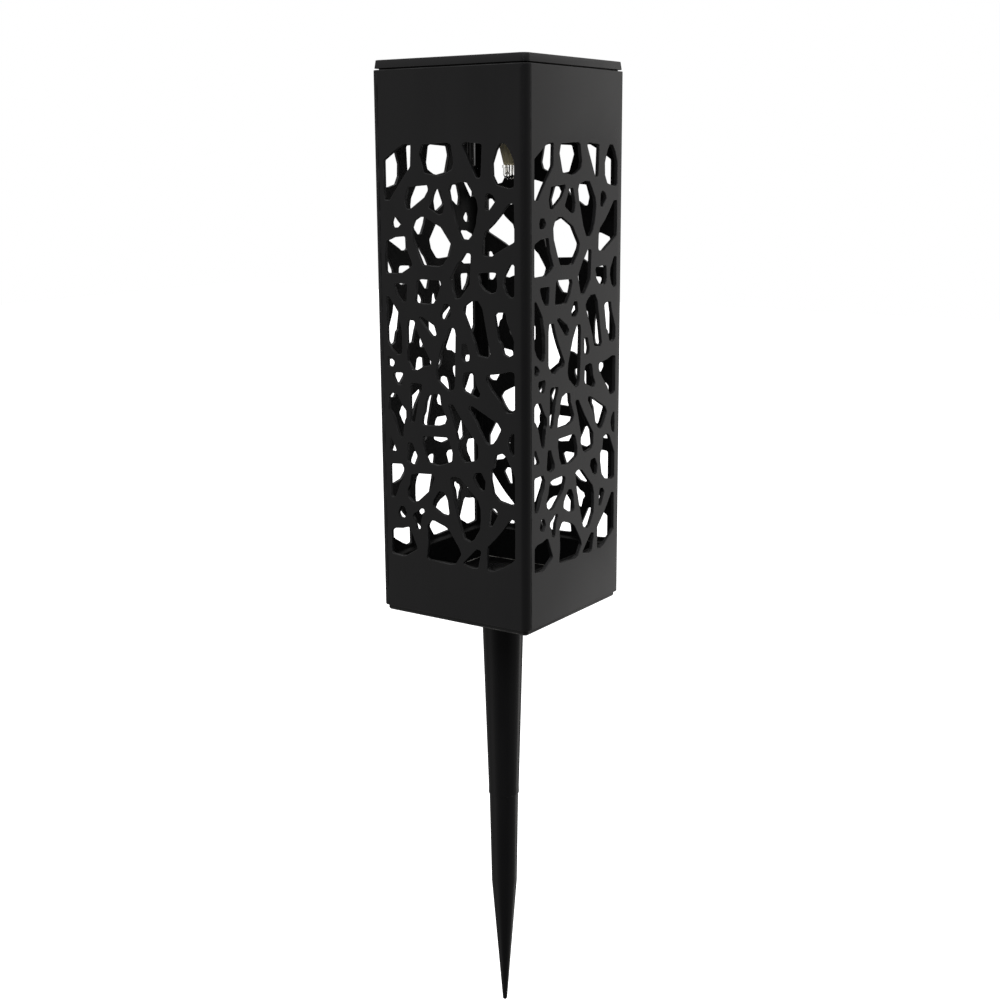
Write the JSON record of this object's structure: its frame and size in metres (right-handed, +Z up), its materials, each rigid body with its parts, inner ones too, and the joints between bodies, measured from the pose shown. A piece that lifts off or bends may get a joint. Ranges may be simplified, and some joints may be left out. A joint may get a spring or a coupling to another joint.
{
  "type": "solar garden lantern on a ground stake",
  "caption": "Square black garden lantern with pierced walls, a lift-off solar cap with a small lamp, and a tapered two-piece ground stake.",
  "frame": {"origin": "centre of the base's underside, where the stake begins", "axes": "+Z up along the stake and the body, -Y out of the front panel, +X out of the right panel"},
  "size_m": [0.07, 0.07, 0.3957],
  "materials": {
    "body_black": "satin",
    "foot_black": "satin",
    "tray_black": "satin",
    "frame_black": "matte",
    "stake_black": "gloss",
    "cap_black": "satin",
    "housing_black": "satin",
    "silicon": "gloss",
    "cover_clear": "polished",
    "gasket_rubber": "matte",
    "screw_steel": "satin",
    "battery_wrap": "gloss",
    "contact_nickel": "satin",
    "board_green": "satin",
    "chip_black": "matte",
    "switch_steel": "satin",
    "lever_black": "gloss",
    "sleeve_olive": "satin",
    "lamp_clear": "polished",
    "lead_red": "satin"
  },
  "bodies": {
    "lantern_body": {"panel_front": "body_black", "panel_right": "body_black", "panel_back": "body_black", "panel_left": "body_black", "base_plate": "foot_black", "base_tray": "tray_black", "base_screws": "screw_steel", "top_frame": "frame_black"},
    "cap": {"cap_lid": "cap_black", "solar_cell": "silicon", "solar_cover": "cover_clear", "sealing_gasket": "gasket_rubber", "cap_housing": "housing_black", "housing_screws": "screw_steel", "negative_contact": "contact_nickel", "positive_contact": "contact_nickel", "battery_spring": "contact_nickel", "circuit_board": "board_green", "board_screws": "screw_steel", "driver_chip": "chip_black", "inductor": "chip_black", "switch_body": "switch_steel", "lamp_sleeve": "sleeve_olive", "led_lamp": "lamp_clear", "led_leads": "lead_red", "solar_leads": "lead_red", "battery_leads": "lead_red"},
    "battery_hatch": {"battery_door": "housing_black", "door_screw": "screw_steel"},
    "battery": {"battery_cell": "battery_wrap"},
    "switch": {"switch_lever": "lever_black"},
    "upper_stake": {"stake_tube": "stake_black"},
    "lower_stake": {"stake_point": "stake_black"}
  },
  "joints": [
    {"name": "cap_lift", "type": "slide", "parent": "lantern_body", "child": "cap", "axis": [0, 0, 1], "range_m": [0, 0.08]},
    {"name": "door_drop", "type": "slide", "parent": "cap", "child": "battery_hatch", "axis": [0, 0, -1], "range_m": [0, 0.04]},
    {"name": "battery_drop", "type": "slide", "parent": "cap", "child": "battery", "axis": [0, 0, -1], "range_m": [0, 0.03]},
    {"name": "switch_slide", "type": "slide", "parent": "cap", "child": "switch", "axis": [1, 0, 0], "range_m": [0, 0.002]},
    {"name": "stake_pull", "type": "slide", "parent": "lantern_body", "child": "upper_stake", "axis": [0, 0, -1], "range_m": [0, 0.06]},
    {"name": "point_pull", "type": "slide", "parent": "upper_stake", "child": "lower_stake", "axis": [0, 0, -1], "range_m": [0, 0.04]}
  ],
  "couplings": [
    {"joint": "battery_drop", "follows": "door_drop", "ratio": 0.75}
  ]
}
